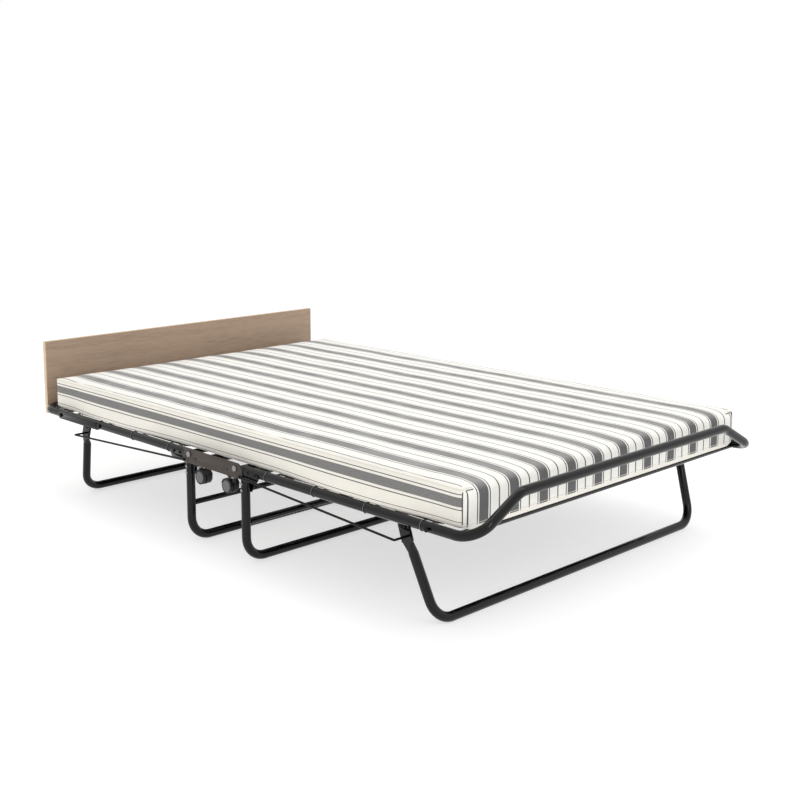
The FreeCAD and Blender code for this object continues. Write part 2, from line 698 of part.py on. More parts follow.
# ---------------------------------------------------------------- links and latches
def link_rods(end):
    """Thin rods from the centre plate to the end leg, with both ends bent inwards."""
    slant = math.atan2(dim("end_leg_splay"), end_leg_drop())
    drop = dim("link_hole_drop")
    outward = ENDS[end]
    inner_x = dim("carriage_x") + outward * dim("link_pin_reach")
    outer_x = dim("carriage_x") + outward * (dim("end_leg_reach") + drop * math.sin(slant))
    outer_z = dim("end_leg_height") - drop * math.cos(slant)
    rods = []
    for sign in SIDES.values():
        rod_y = sign * dim("link_rod_y")
        points = [
            Vector(inner_x, sign * (dim("plate_inner_y") + 0.1), dim("link_pin_height")),
            Vector(inner_x, rod_y, dim("link_pin_height")),
            Vector(outer_x, rod_y, outer_z),
            Vector(outer_x, sign * (dim("end_leg_top_y") + 5), outer_z),
        ]
        rods.append(swept(points, 3.5, dim("link_rod_radius")))
    scripted(f"{end}_link_rods", Part.makeCompound(rods))


def latches():
    """Flat arms on the head rails, their rivets, and the studs on the foot rails that they catch."""
    rivets = []
    studs = []
    rail_face = "Dims.rail_y + Dims.tube_radius"
    pivot_x = reach("head", "Dims.latch_reach")
    stud_x = reach("foot", "Dims.latch_reach")
    for side in SIDES:
        low_y = "609" if SIDES[side] > 0 else "-612"
        bar = box(("Dims.latch_length + 2", "3", "2 * Dims.latch_half_width"),
                  (pivot_x, low_y, "Dims.rail_height - Dims.latch_half_width"))
        ends = [side_cylinder(side, "Dims.latch_half_width", f"{pivot_x} + ({out})", "609", "612",
                              "Dims.rail_height") for out in ("0", "Dims.latch_length + 2")]
        arm = fuse([bar] + ends)
        hook_x = f"{pivot_x} + Dims.latch_length"
        notch = box(("9", "3", "Dims.latch_half_width + 2"), (f"{hook_x} - 4.5", low_y, "Dims.rail_height"))
        seat = side_cylinder(side, "4.5", hook_x, "609", "612", "Dims.rail_height")
        hole = side_cylinder(side, "4.05", pivot_x, "609", "612", "Dims.rail_height")
        keep("latch_arm_" + side, cut(arm, fuse([notch, seat, hole]), "LatchArm"))
        for x, pieces in ((pivot_x, rivets), (stud_x, studs)):
            shank = side_cylinder(side, "4", x, rail_face, "614.5", "Dims.rail_height")
            head = side_cylinder(side, "7", x, "612.4", "614.5", "Dims.rail_height")
            pieces.append(fuse([shank, head], "Stud"))
    keep("latch_pivot_rivets", group(rivets))
    keep("latch_studs", group(studs))


# ---------------------------------------------------------------- casters
def caster(end, side):
    """A twin-wheel caster: a hooded body on a stem, and two wheels on one axle that trail inwards."""
    stem_x = reach(end, "Dims.carriage_tube_reach")
    axle_x = reach(end, "Dims.carriage_tube_reach - Dims.caster_trail")
    middle_y = f"{SIDES[side]} * Dims.caster_y"
    axle_z = "Dims.wheel_height"

    def disc(radius, half_width):
        return cylinder_y(radius, axle_x, f"{middle_y} - {half_width}", f"{middle_y} + {half_width}", axle_z)

    def half_space(half_width):
        return box(("60", f"2 * {half_width}", "30"),
                   (f"{axle_x} - 30", f"{middle_y} - {half_width}", "Dims.wheel_height - 30 + 6"))

    hood = cut(disc("22.3", 15), disc("20.6", 16))
    hood = cut(hood, half_space(20))
    web = disc("20.7", 3.6)
    neck = cylinder("6.5", "20", (stem_x, middle_y, "208.4"))
    neck = cut(neck, disc("20.6", 16))
    stem = cylinder("4", "12", (stem_x, middle_y, "218.5"))
    yoke = cut(fuse([hood, web, neck, stem]), disc("3.1", 20), "Yoke")
    keep(f"caster_{end}_{side}_yoke", yoke)

    wheels = []
    for sign in (1, -1):
        edges = sorted((4.2 * sign, 15.5 * sign))
        wheels.append(cylinder_y("Dims.wheel_radius", axle_x, f"{middle_y} + ({edges[0]})",
                                 f"{middle_y} + ({edges[1]})", axle_z))
    keep(f"caster_{end}_{side}_wheels", fuse(wheels + [disc("3", 15.5)], "Wheels"))


# ---------------------------------------------------------------- assembly
for side_name in SIDES:
    centre_plate(side_name)
carriage_leg_brackets()
caster_sockets()
carriage_bolts()
head_frame_tube()
foot_frame_tube()
headboard()
mattress()
latches()
for end_name in ENDS:
    carriage_cross_tube(end_name)
    frame_cross_tubes(end_name)
    hinge_gussets(end_name)
    end_leg_brackets(end_name)
    deck(end_name)
    end_leg(end_name)
    centre_leg(end_name)
    link_rods(end_name)
    for side_name in SIDES:
        caster(end_name, side_name)
doc.recompute()

# ---------------------------------------------------------------- checks and output
for item in doc.Objects:
    if {"Invalid", "Error"} & set(item.State):
        raise RuntimeError(f"{item.Label} failed: {item.State}")
for label, item in nodes.items():
    if item.Shape.isNull() or not item.Shape.isValid() or not item.Shape.Solids:
        raise RuntimeError(f"{label} has no valid shape")
    item.Shape.exportStep(f"parts/{label}.step")
print(len(nodes), "sub-parts written")
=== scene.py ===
"""Rollaway bed: mattress, headboard, deck, springs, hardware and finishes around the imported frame."""
import json
import math

import bpy
from mathutils import Matrix, Vector, noise


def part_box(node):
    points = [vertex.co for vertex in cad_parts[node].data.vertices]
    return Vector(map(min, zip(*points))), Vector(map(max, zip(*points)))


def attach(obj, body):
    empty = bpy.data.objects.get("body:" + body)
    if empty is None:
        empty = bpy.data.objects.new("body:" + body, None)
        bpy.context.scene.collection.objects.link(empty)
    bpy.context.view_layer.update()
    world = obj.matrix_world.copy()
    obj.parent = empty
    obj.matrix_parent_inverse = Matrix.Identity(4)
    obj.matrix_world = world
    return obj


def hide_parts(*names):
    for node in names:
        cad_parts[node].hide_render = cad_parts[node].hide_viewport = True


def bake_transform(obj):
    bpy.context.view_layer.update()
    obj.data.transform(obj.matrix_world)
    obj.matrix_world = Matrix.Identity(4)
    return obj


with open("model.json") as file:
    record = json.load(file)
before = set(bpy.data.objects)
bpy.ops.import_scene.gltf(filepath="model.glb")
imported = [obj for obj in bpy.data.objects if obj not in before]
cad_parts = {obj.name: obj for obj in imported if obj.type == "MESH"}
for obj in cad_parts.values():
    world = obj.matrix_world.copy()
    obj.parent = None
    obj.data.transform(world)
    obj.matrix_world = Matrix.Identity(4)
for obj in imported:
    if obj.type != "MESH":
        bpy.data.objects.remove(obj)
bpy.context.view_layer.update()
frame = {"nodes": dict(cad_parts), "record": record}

bl_info = {
    "name": "Rollaway Bed",
    "version": (1, 0, 0),
    "blender": (4, 5, 0),
    "location": "View3D > Sidebar > Rollaway Bed",
    "description": "Builds a folding guest bed around its packed frame",
    "category": "Object",
}

MM = 0.001
CARRIAGE_X = 0.0095
SIDES = {"left": 1, "right": -1}
ENDS = {"head": -1, "foot": 1}
RAIL_Y = 0.595
RAIL_Z = 0.260
SPRING_REACHES = (0.222, 0.410, 0.600, 0.790)
DECK_WIRE_Y = 0.5495
DECK_WIRE_Z = 0.257
# heights above the floor of the mattress's seams and of the stripes woven into its side border
TOP_SEAM_Z = 0.3600
LOWER_SEAM_Z = 0.2775
CORNER_SEAM_Z = (0.279, 0.358)
BORDER_TOP_Z = 0.3640
BORDER_BAND_Z = (0.3203, 0.3424)
BORDER_LINES_Z = ((0.3486, 0.3508), (0.3122, 0.3144), (0.2844, 0.2858))
PLAIN_STRIP_TOP_Z = 0.2735
# how far in from the mattress's end and side its seams lie
END_SEAM_INSET = 0.008
PLAIN_STRIP_DEPTH = 0.020
BORDER_DEPTH = 0.030
SIDE_SEAM_DEPTH = 0.045
# from the middle of a broad stripe, in millimetres: its edge, and the thin line beside it
BROAD_STRIPE_MM = 16.2
THIN_LINE_MM = (20.2, 23.8)
MIDDLE_LINE_MM = 2.0
# closest that the cover comes to a rail's axis, past its spring hooks, and to the centre plates
RAIL_CLEARANCE = 0.0148
CENTRE_PLATE_Y = 0.6062
CAMERA_PLACE = (2.6939, -2.5521, 1.1414)
CAMERA_TURN = (90 - 8.466, 0, 45.57)
LIGHTS_AIM = (0.1, 0, 0.25)


def linear(code):
    """An sRGB hex colour as linear red, green, blue and alpha."""
    values = [int(code[start:start + 2], 16) / 255 for start in (1, 3, 5)]
    return tuple(v / 12.92 if v <= 0.04045 else ((v + 0.055) / 1.055) ** 2.4 for v in values) + (1.0,)


def colour_property(label, about, code):
    """A colour that a user may change."""
    return bpy.props.FloatVectorProperty(name=label, description=about, subtype="COLOR", size=4,
                                         min=0, max=1, default=linear(code))


def length_property(label, about, size):
    """A length that a user may change."""
    return bpy.props.FloatProperty(name=label, description=about, default=size, min=0, unit="LENGTH",
                                   precision=4)


class MattressSettings(bpy.types.PropertyGroup):
    """Sizes and colours of the mattress."""
    top: length_property("Top", "Height of the mattress top above the floor", 0.371)
    underside: length_property("Underside", "Height of the mattress underside above the floor", 0.2632)
    half_width: length_property("Half width", "Side of the mattress from the middle plane", 0.582)
    end_reach: length_property("End reach", "Mattress end from the middle of the carriage", 0.900)
    swell: length_property("Swell", "How far the stuffing may push the cover out", 0.007)
    voxel: length_property("Voxel", "Size of the cover's mesh before it is smoothed", 0.011)
    stripe_period: length_property("Stripe period", "Distance from one broad stripe to the next", 0.109)
    stripe_centre: length_property("Stripe centre", "Middle of one broad stripe", 0.034)
    piping: length_property("Piping", "Radius of the sewn seam cords", 0.0012)
    cloth: colour_property("Cloth", "Undyed ticking", "#f1efe9")
    border_cloth: colour_property("Border cloth", "Undyed ticking of the side border", "#ece8de")
    band: colour_property("Band", "Dark threads of the broad stripes", "#3d3d40")
    fine_line: colour_property("Fine line", "Threads of the thin lines", "#232224")


class MetalSettings(bpy.types.PropertyGroup):
    """Finishes of the metal parts."""
    enamel: colour_property("Enamel", "Gloss enamel on the tubes", "#070607")
    wire_enamel: colour_property("Wire enamel", "Satin enamel on rods and wire", "#0e0d0e")
    plate_enamel: colour_property("Plate enamel", "Enamel on the centre plates", "#4a443f")
    zinc: colour_property("Zinc", "Zinc plate on bolts and rivets", "#8f9194")
    spring: colour_property("Spring wire", "Drawn spring wire", "#77787a")
    edge_round: length_property("Edge round", "Rounding of pressed plate edges", 0.0006)
    head_round: length_property("Head round", "Rounding of bolt and rivet heads", 0.0014)
    spring_wire: length_property("Spring wire radius", "Radius of the spring wire", 0.0009)
    spring_radius: length_property("Spring radius", "Middle of the spring's coils", 0.0036)


class BoardSettings(bpy.types.PropertyGroup):
    """Headboard sizes and colours."""
    edge_round: length_property("Edge round", "Rounding of the board's edges", 0.0012)
    face: colour_property("Face", "Laminate towards the mattress", "#a08974")
    outer: colour_property("Outer face", "Laminate on the outside", "#cfae8b")
    edge: colour_property("Edge band", "Band glued round the edges", "#d9c2a6")


class DeckSettings(bpy.types.PropertyGroup):
    """Deck fabric sizes and colours."""
    thickness: length_property("Thickness", "Woven deck fabric", 0.0009)
    sag: length_property("Sag", "How far the middle of the fabric hangs", 0.0012)
    hole_spacing: length_property("Hole spacing", "Distance between openings in the weave", 0.0035)
    yarn: colour_property("Yarn", "Polyester yarn", "#3b3c3e")


class CasterSettings(bpy.types.PropertyGroup):
    """Caster sizes and colours."""
    wheel_radius: length_property("Wheel radius", "Tread of the wheels", 0.020)
    hub_radius: length_property("Hub radius", "Hub disc of the wheels", 0.0168)
    body: colour_property("Body", "Moulded nylon", "#0f0f10")
    tread: colour_property("Tread", "Wheel tread", "#161617")
    hub: colour_property("Hub", "Hub disc", "#5d5e60")


class StudioSettings(bpy.types.PropertyGroup):
    """Floor, lights and camera."""
    floor: colour_property("Floor", "Plain floor", "#bcbcbc")
    key_power: bpy.props.FloatProperty(name="Key power", description="Large soft light above", default=5,
                                       min=0, subtype="POWER")
    fill_power: bpy.props.FloatProperty(name="Fill power", description="Soft light at the camera's side",
                                        default=9, min=0, subtype="POWER")
    strip_power: bpy.props.FloatProperty(name="Strip power", description="Long narrow light overhead",
                                         default=14, min=0, subtype="POWER")
    sky: bpy.props.FloatProperty(name="Surround", description="Strength of the white surround",
                                 default=1.0, min=0)
    lens: bpy.props.FloatProperty(name="Lens", description="Focal length", default=55.4, min=1,
                                  subtype="DISTANCE_CAMERA")


# ---------------------------------------------------------------- shader nodes
def add_node(tree, kind, settings=(), links=()):
    """Add a node, give its inputs and options their values, and link its inputs to other nodes."""
    node = tree.nodes.new(kind)
    for key, value in dict(settings).items():
        if key == "stops":
            ramp = node.color_ramp
            while len(ramp.elements) < len(value):
                ramp.elements.new(0.5)
            for element, (place, colour) in zip(ramp.elements, value):
                element.position = place
                element.color = colour
        elif isinstance(key, int) or key in node.inputs:
            node.inputs[key].default_value = value
        else:
            setattr(node, key, value)
    for key, source in dict(links).items():
        tree.links.new(source, node.inputs[key])
    return node


def new_material(name, **values):
    """A material with one Principled shader and its object coordinates in metres."""
    material = bpy.data.materials.new(name)
    material.use_nodes = True
    tree = material.node_tree
    shader = tree.nodes["Principled BSDF"]
    for key, value in values.items():
        shader.inputs[key.replace("_", " ")].default_value = value
    return material, tree, shader, add_node(tree, "ShaderNodeTexCoord").outputs["Object"]


def vary(tree, shader, pattern, colour, tones, gloss=None):
    """Let a pattern lighten and darken a colour, and sharpen and dull its gloss."""
    tone = add_node(tree, "ShaderNodeMapRange", {"To Min": tones[0], "To Max": tones[1]}, {"Value": pattern})
    tint = add_node(tree, "ShaderNodeMix", {"data_type": "RGBA", "blend_type": "MULTIPLY", 0: 1.0, 6: tuple(colour)},
                    {7: tone.outputs["Result"]})
    tree.links.new(tint.outputs[2], shader.inputs["Base Color"])
    if gloss:
        sheen = add_node(tree, "ShaderNodeMapRange", {"To Min": gloss[0], "To Max": gloss[1]}, {"Value": pattern})
        tree.links.new(sheen.outputs["Result"], shader.inputs["Roughness"])


def enamel_material(name, colour, roughness, peel_mm, coat):
    """Sprayed and baked enamel: a slight orange peel breaks up a sharp gloss."""
    material, tree, shader, place = new_material(name, Base_Color=colour, IOR=1.5)
    shader.inputs["Specular IOR Level"].default_value = 0.1
    shader.inputs["Coat Weight"].default_value = coat
    shader.inputs["Coat Roughness"].default_value = 0.06
    peel = add_node(tree, "ShaderNodeTexNoise", {"Scale": 1 / (peel_mm * MM), "Detail": 2}, {"Vector": place})
    cloud = add_node(tree, "ShaderNodeTexNoise", {"Scale": 1 / (60 * MM), "Detail": 3}, {"Vector": place})
    vary(tree, shader, cloud.outputs["Fac"], colour, (0.75, 1.35), (roughness * 0.8, roughness * 1.3))
    bump = add_node(tree, "ShaderNodeBump", {"Strength": 0.08, "Distance": 0.1 * MM},
                    {"Height": peel.outputs["Fac"]})
    tree.links.new(bump.outputs["Normal"], shader.inputs["Normal"])
    return material


def plated_material(name, colour, roughness):
    """Plated or drawn steel: metallic, with fine drawing marks and a cloudy sheen."""
    material, tree, shader, place = new_material(name, Base_Color=colour, Metallic=1.0)
    marks = add_node(tree, "ShaderNodeTexNoise", {"Scale": 1 / (1.5 * MM), "Detail": 4}, {"Vector": place})
    vary(tree, shader, marks.outputs["Fac"], colour, (0.8, 1.1), (roughness * 0.7, roughness * 1.5))
    return material


def moulded_material(name, colour, roughness):
    """Injection-moulded nylon: an even colour under a fine spark-eroded grain."""
    material, tree, shader, place = new_material(name, Base_Color=colour, IOR=1.5)
    grain = add_node(tree, "ShaderNodeTexNoise", {"Scale": 1 / (0.8 * MM), "Detail": 2}, {"Vector": place})
    vary(tree, shader, grain.outputs["Fac"], colour, (0.85, 1.15), (roughness * 0.85, roughness * 1.2))
    bump = add_node(tree, "ShaderNodeBump", {"Strength": 0.15, "Distance": 0.05 * MM},
                    {"Height": grain.outputs["Fac"]})
    tree.links.new(bump.outputs["Normal"], shader.inputs["Normal"])
    return material


def laminate_material(name, colour, dark):
    """Printed wood-grain laminate: long fine grain along the board, matt, with shallow pores."""
    material, tree, shader, place = new_material(name, IOR=1.5)
    stretched = add_node(tree, "ShaderNodeMapping", {"Scale": (1, 0.045, 1)}, {"Vector": place}).outputs["Vector"]
    grain = add_node(tree, "ShaderNodeTexNoise", {"Scale": 1 / (2.6 * MM), "Detail": 6, "Roughness": 0.65},
                     {"Vector": stretched})
    figure = add_node(tree, "ShaderNodeTexNoise", {"Scale": 1 / (26 * MM), "Detail": 3, "Distortion": 0.6},
                      {"Vector": stretched})
    mixed = add_node(tree, "ShaderNodeMath", {"operation": "MULTIPLY_ADD", 1: 0.65},
                     {0: grain.outputs["Fac"], 2: add_node(
                         tree, "ShaderNodeMath", {"operation": "MULTIPLY", 1: 0.35},
                         {0: figure.outputs["Fac"]}).outputs[0]})
    deep = tuple(channel * dark for channel in colour[:3]) + (1.0,)
    pale = tuple(min(1.0, channel * 1.12) for channel in colour[:3]) + (1.0,)
    shade = add_node(tree, "ShaderNodeValToRGB", {"stops": ((0.36, deep), (0.5, colour), (0.66, pale))},
                     {"Fac": mixed.outputs[0]})
    bump = add_node(tree, "ShaderNodeBump", {"Strength": 0.2, "Distance": 0.08 * MM},
                    {"Height": grain.outputs["Fac"]})
    gloss = add_node(tree, "ShaderNodeMapRange", {"To Min": 0.45, "To Max": 0.62}, {"Value": grain.outputs["Fac"]})
    tree.links.new(shade.outputs["Color"], shader.inputs["Base Color"])
    tree.links.new(gloss.outputs["Result"], shader.inputs["Roughness"])
    tree.links.new(bump.outputs["Normal"], shader.inputs["Normal"])
    return material


def deck_material(settings):
    """Open woven polyester: dark yarn with square openings between the threads and a dense hem."""
    material, tree, shader, place = new_material("Woven polyester deck", Roughness=0.75)
    parts = add_node(tree, "ShaderNodeSeparateXYZ", links={"Vector": place})
    turns = 2 * math.pi / settings.hole_spacing
    waves = []
    for axis in ("X", "Y"):
        angle = add_node(tree, "ShaderNodeMath", {"operation": "MULTIPLY", 1: turns}, {0: parts.outputs[axis]})
        waves.append(add_node(tree, "ShaderNodeMath", {"operation": "SINE"}, {0: angle.outputs[0]}).outputs[0])
    lowest = add_node(tree, "ShaderNodeMath", {"operation": "MINIMUM"}, {0: waves[0], 1: waves[1]})
    yarn = add_node(tree, "ShaderNodeMath", {"operation": "LESS_THAN", 1: -0.25}, {0: lowest.outputs[0]})
    across = add_node(tree, "ShaderNodeMath", {"operation": "ABSOLUTE"}, {0: parts.outputs["Y"]})
    hem = add_node(tree, "ShaderNodeMath", {"operation": "GREATER_THAN", 1: 0.530}, {0: across.outputs[0]})
    solid = add_node(tree, "ShaderNodeMath", {"operation": "MAXIMUM"}, {0: yarn.outputs[0], 1: hem.outputs[0]})
    fleck = add_node(tree, "ShaderNodeTexNoise", {"Scale": 1 / (4 * MM), "Detail": 2}, {"Vector": place})
    dark = tuple(channel * 0.6 for channel in settings.yarn[:3]) + (1.0,)
    shade = add_node(tree, "ShaderNodeMix", {"data_type": "RGBA", 6: dark, 7: settings.yarn},
                     {0: fleck.outputs["Fac"]})
    bump = add_node(tree, "ShaderNodeBump", {"Strength": 0.4, "Distance": 0.2 * MM},
                    {"Height": lowest.outputs[0]})
    tree.links.new(shade.outputs[2], shader.inputs["Base Color"])
    tree.links.new(solid.outputs[0], shader.inputs["Alpha"])
    tree.links.new(bump.outputs["Normal"], shader.inputs["Normal"])
    return material


def spans(name, value, limits):
    """The steps that give one where a value lies inside any of some spans, else nought."""
    steps = []
    for number, (low, high) in enumerate(limits):
        part = f"{name}_{number}" if number else name
        steps += [("over", "GREATER_THAN", value, low), ("under", "LESS_THAN", value, high),
                  (part, "MULTIPLY", "over", "under")]
        if number:
            steps.append((name, "ADD", name, part))
    return steps


def ticking_material(settings):
    """Woven cotton ticking: broad twill stripes and fine lines on undyed cloth, with a striped side border."""
    material, tree, shader, _ = new_material("Striped cotton ticking", Roughness=0.85)
    shader.inputs["Sheen Weight"].default_value = 0.15
    shader.inputs["Sheen Roughness"].default_value = 0.5
    place = add_node(tree, "ShaderNodeAttribute", {"attribute_name": "rest_place"}).outputs["Vector"]
    parts = add_node(tree, "ShaderNodeSeparateXYZ", links={"Vector": place})
    tilt = add_node(tree, "ShaderNodeAttribute", {"attribute_name": "upward"})
    topness = add_node(tree, "ShaderNodeMapRange", {"From Min": 0.55, "From Max": 0.98},
                       {"Value": tilt.outputs["Fac"]})
    known = {"x": parts.outputs["X"], "y": parts.outputs["Y"], "z": parts.outputs["Z"],
             "topness": topness.outputs["Result"]}
    for name, size_mm, detail, roughness in (("waver", 220, 1, 0.5), ("speck", 1.6, 2, 0.7), ("cloud", 90, 3, 0.5)):
        known[name] = add_node(tree, "ShaderNodeTexNoise",
                               {"Scale": 1 / (size_mm * MM), "Detail": detail, "Roughness": roughness},
                               {"Vector": place}).outputs["Fac"]
    half_mm = settings.stripe_period / MM / 2
    steps = [
        # a slow waver keeps the stripes from running ruler-straight over the soft top
        ("shift", "MULTIPLY_ADD", "waver", 5 * MM, -2.5 * MM - settings.stripe_centre),
        ("across", "ADD", "y", "shift"),
        ("periods", "DIVIDE", "across", settings.stripe_period),
        ("turns", "ADD", "periods", 0.5),
        ("fraction", "FRACT", "turns"),
        ("centred", "SUBTRACT", "fraction", 0.5),
        ("aside", "ABSOLUTE", "centred"),
        ("from_centre", "MULTIPLY", "aside", 2.0),
        # diagonal threads, drawn 2.2 mm apart because the real ones are too fine to show
        ("diagonal_xy", "ADD", "x", "y"),
        ("diagonal", "ADD", "diagonal_xy", "z"),
        ("phase", "MULTIPLY", "diagonal", 2 * math.pi / (2.2 * MM)),
        ("wave", "SINE", "phase"),
        ("twill", "MULTIPLY_ADD", "wave", 0.5, 0.5),
        ("thread", "MULTIPLY", "twill", "speck"),
        # painted light: where the cover faces up, the broad stripes are painted greyer in cloudy patches and the
        # thin lines paler, as if lit from above
        ("patchy", "MULTIPLY_ADD", "cloud", 0.30, 0.02),
        ("wear", "MULTIPLY", "topness", "patchy"),
        ("band_pale", "MULTIPLY_ADD", "thread", 0.28, "wear"),
        ("line_thread", "MULTIPLY", "thread", 0.15),
        ("line_pale", "MULTIPLY_ADD", "topness", 0.25, "line_thread"),
        ("border_pale", "MULTIPLY_ADD", "thread", 0.45, 0.06),
        # the side border runs between the end seams, and a plain calico strip ends the striped cloth below
        ("side", "ABSOLUTE", "y"),
        ("beside", "GREATER_THAN", "side", settings.half_width - BORDER_DEPTH),
        ("below_edge", "LESS_THAN", "z", BORDER_TOP_Z),
        ("from_middle", "SUBTRACT", "x", CARRIAGE_X),
        ("along", "ABSOLUTE", "from_middle"),
        ("between_ends", "LESS_THAN", "along", settings.end_reach - END_SEAM_INSET),
        ("low_side", "MULTIPLY", "beside", "below_edge"),
        ("is_border", "MULTIPLY", "low_side", "between_ends"),
        ("low", "LESS_THAN", "z", PLAIN_STRIP_TOP_Z),
        ("at_end", "GREATER_THAN", "along", settings.end_reach - PLAIN_STRIP_DEPTH),
        ("is_plain", "MULTIPLY", "low", "at_end"),
    ]
    steps += spans("band", "from_centre", [(-0.01, BROAD_STRIPE_MM / half_mm)])
    steps += spans("line", "from_centre", [(THIN_LINE_MM[0] / half_mm, THIN_LINE_MM[1] / half_mm),
                                           ((half_mm - MIDDLE_LINE_MM) / half_mm, 1.0)])
    steps += spans("border_band", "z", [BORDER_BAND_Z]) + spans("border_line", "z", BORDER_LINES_Z)
    for name, operation, *terms in steps:
        numbers = {index: term for index, term in enumerate(terms) if not isinstance(term, str)}
        links = {index: known[term] for index, term in enumerate(terms) if isinstance(term, str)}
        known[name] = add_node(tree, "ShaderNodeMath", {"operation": operation, **numbers}, links).outputs[0]
    soil = add_node(tree, "ShaderNodeMapRange", {"To Min": 0.93, "To Max": 1.05}, {"Value": known["cloud"]})
    for name in ("cloth", "border_cloth", "band", "fine_line"):
        known[name + "_colour"] = tuple(getattr(settings, name))
    # each layer: its name, what tells where it shows, and the colours under and over
    for name, share, under, over in (
            ("band_shade", "band_pale", "band_colour", "cloth_colour"),
            ("line_shade", "line_pale", "fine_line_colour", "cloth_colour"),
            ("border_shade", "border_pale", "band_colour", "cloth_colour"),
            ("banded", "band", "cloth_colour", "band_shade"),
            ("striped", "line", "banded", "line_shade"),
            ("border_banded", "border_band", "border_cloth_colour", "border_shade"),
            ("border", "border_line", "border_banded", "line_shade"),
            ("with_strip", "is_plain", "striped", "border_cloth_colour"),
            ("sewn", "is_border", "with_strip", "border")):
        sources = {0: known[share], 6: known[under], 7: known[over]}
        colours = {index: source for index, source in sources.items() if isinstance(source, tuple)}
        links = {index: source for index, source in sources.items() if not isinstance(source, tuple)}
        known[name] = add_node(tree, "ShaderNodeMix", {"data_type": "RGBA", **colours}, links).outputs[2]
    toned = add_node(tree, "ShaderNodeMix", {"data_type": "RGBA", "blend_type": "MULTIPLY", 0: 1.0},
                     {6: known["sewn"], 7: soil.outputs["Result"]})
    bump = add_node(tree, "ShaderNodeBump", {"Strength": 0.35, "Distance": 0.25 * MM}, {"Height": known["thread"]})
    tree.links.new(toned.outputs[2], shader.inputs["Base Color"])
    tree.links.new(bump.outputs["Normal"], shader.inputs["Normal"])
    return material


def thread_material(name, colour):
    """Twisted cotton cord: matt, with a fine twist along it."""
    material, tree, shader, place = new_material(name, Base_Color=colour, Roughness=0.9)
    twist = add_node(tree, "ShaderNodeTexWave",
                     {"Scale": 1 / (9 * MM), "Distortion": 1.5, "bands_direction": "DIAGONAL"}, {"Vector": place})
    # the grooves between the twisted strands are painted darker: painted shade
    dark = tuple(channel * 0.7 for channel in colour[:3]) + (1.0,)
    shade = add_node(tree, "ShaderNodeMix", {"data_type": "RGBA", 6: dark, 7: tuple(colour)},
                     {0: twist.outputs["Fac"]})
    bump = add_node(tree, "ShaderNodeBump", {"Strength": 0.4, "Distance": 0.2 * MM},
                    {"Height": twist.outputs["Fac"]})
    tree.links.new(shade.outputs[2], shader.inputs["Base Color"])
    tree.links.new(bump.outputs["Normal"], shader.inputs["Normal"])
    return material


def floor_material(colour):
    """Painted studio floor: pale, matt and very slightly mottled."""
    material, tree, shader, place = new_material("Pale studio floor", Roughness=0.8)
    mottle = add_node(tree, "ShaderNodeTexNoise", {"Scale": 1.5, "Detail": 3}, {"Vector": place})
    vary(tree, shader, mottle.outputs["Fac"], colour, (0.985, 1.0))
    # the floor glows softly like a lit table, so shadows on it stay pale
    shader.inputs["Emission Color"].default_value = (1, 1, 1, 1)
    shader.inputs["Emission Strength"].default_value = 0.6
    return material


# ---------------------------------------------------------------- working by hand
def only(piece):
    """Select one object and nothing else."""
    if bpy.context.mode != "OBJECT":
        bpy.ops.object.mode_set(mode="OBJECT")
    bpy.ops.object.select_all(action="DESELECT")
    piece.select_set(True)
    bpy.context.view_layer.objects.active = piece


def pick(piece, kind, test):
    """Enter edit mode with only the vertices, edges or faces selected whose place passes a test."""
    only(piece)
    bpy.ops.object.mode_set(mode="EDIT")
    bpy.ops.mesh.select_mode(type=kind)
    bpy.ops.mesh.select_all(action="DESELECT")
    bpy.ops.object.mode_set(mode="OBJECT")
    mesh = piece.data
    if kind == "VERT":
        for vertex in mesh.vertices:
            vertex.select = test(vertex.co)
    elif kind == "EDGE":
        for edge in mesh.edges:
            ends = [mesh.vertices[number].co for number in edge.vertices]
            edge.select = test((ends[0] + ends[1]) / 2, (ends[1] - ends[0]).normalized())
    else:
        for face in mesh.polygons:
            face.select = test(face.center, face.normal)
    bpy.ops.object.mode_set(mode="EDIT")


def added(name):
    """Name the primitive that was just added and put its place into its mesh."""
    piece = bpy.context.object
    piece.name = name
    piece.data.name = name
    only(piece)
    bpy.ops.object.transform_apply(location=True, rotation=True, scale=True)
    return piece


def block(name, low, high):
    """A block between two corners."""
    middle = [(a + b) / 2 for a, b in zip(low, high)]
    bpy.ops.mesh.primitive_cube_add(size=1, location=middle)
    bpy.context.object.scale = [b - a for a, b in zip(low, high)]
    return added(name)


def joined(pieces):
    """Join pieces into the first of them."""
    bpy.ops.object.select_all(action="DESELECT")
    for piece in pieces:
        piece.select_set(True)
    bpy.context.view_layer.objects.active = pieces[0]
    bpy.ops.object.join()
    return bpy.context.object


def apply_modifier(piece, kind, **settings):
    """Add a modifier with its settings and apply it."""
    only(piece)
    modifier = piece.modifiers.new(kind.title(), kind)
    for key, value in settings.items():
        setattr(modifier, key, value)
    bpy.ops.object.modifier_apply(modifier=modifier.name)


def smooth(piece, degrees=35):
    """Smooth shading up to an angle."""
    only(piece)
    bpy.ops.object.shade_smooth_by_angle(angle=math.radians(degrees))


def paint(piece, *materials):
    """Give an object its materials, in slot order."""
    piece.data.materials.clear()
    for material in materials:
        piece.data.materials.append(material)


def copied(piece, name, matrix):
    """A copy with its own mesh, moved to another place."""
    only(piece)
    bpy.ops.object.duplicate()
    twin = bpy.context.object
    twin.name = name
    twin.data.name = name
    twin.data.transform(matrix)
    twin.data.update()
    return twin


def body_of_node(node):
    """The body that a node belongs to."""
    for body, members in frame["record"]["behaviour"]["bodies"].items():
        if node in members:
            return body
    raise RuntimeError(f"no body holds {node}")


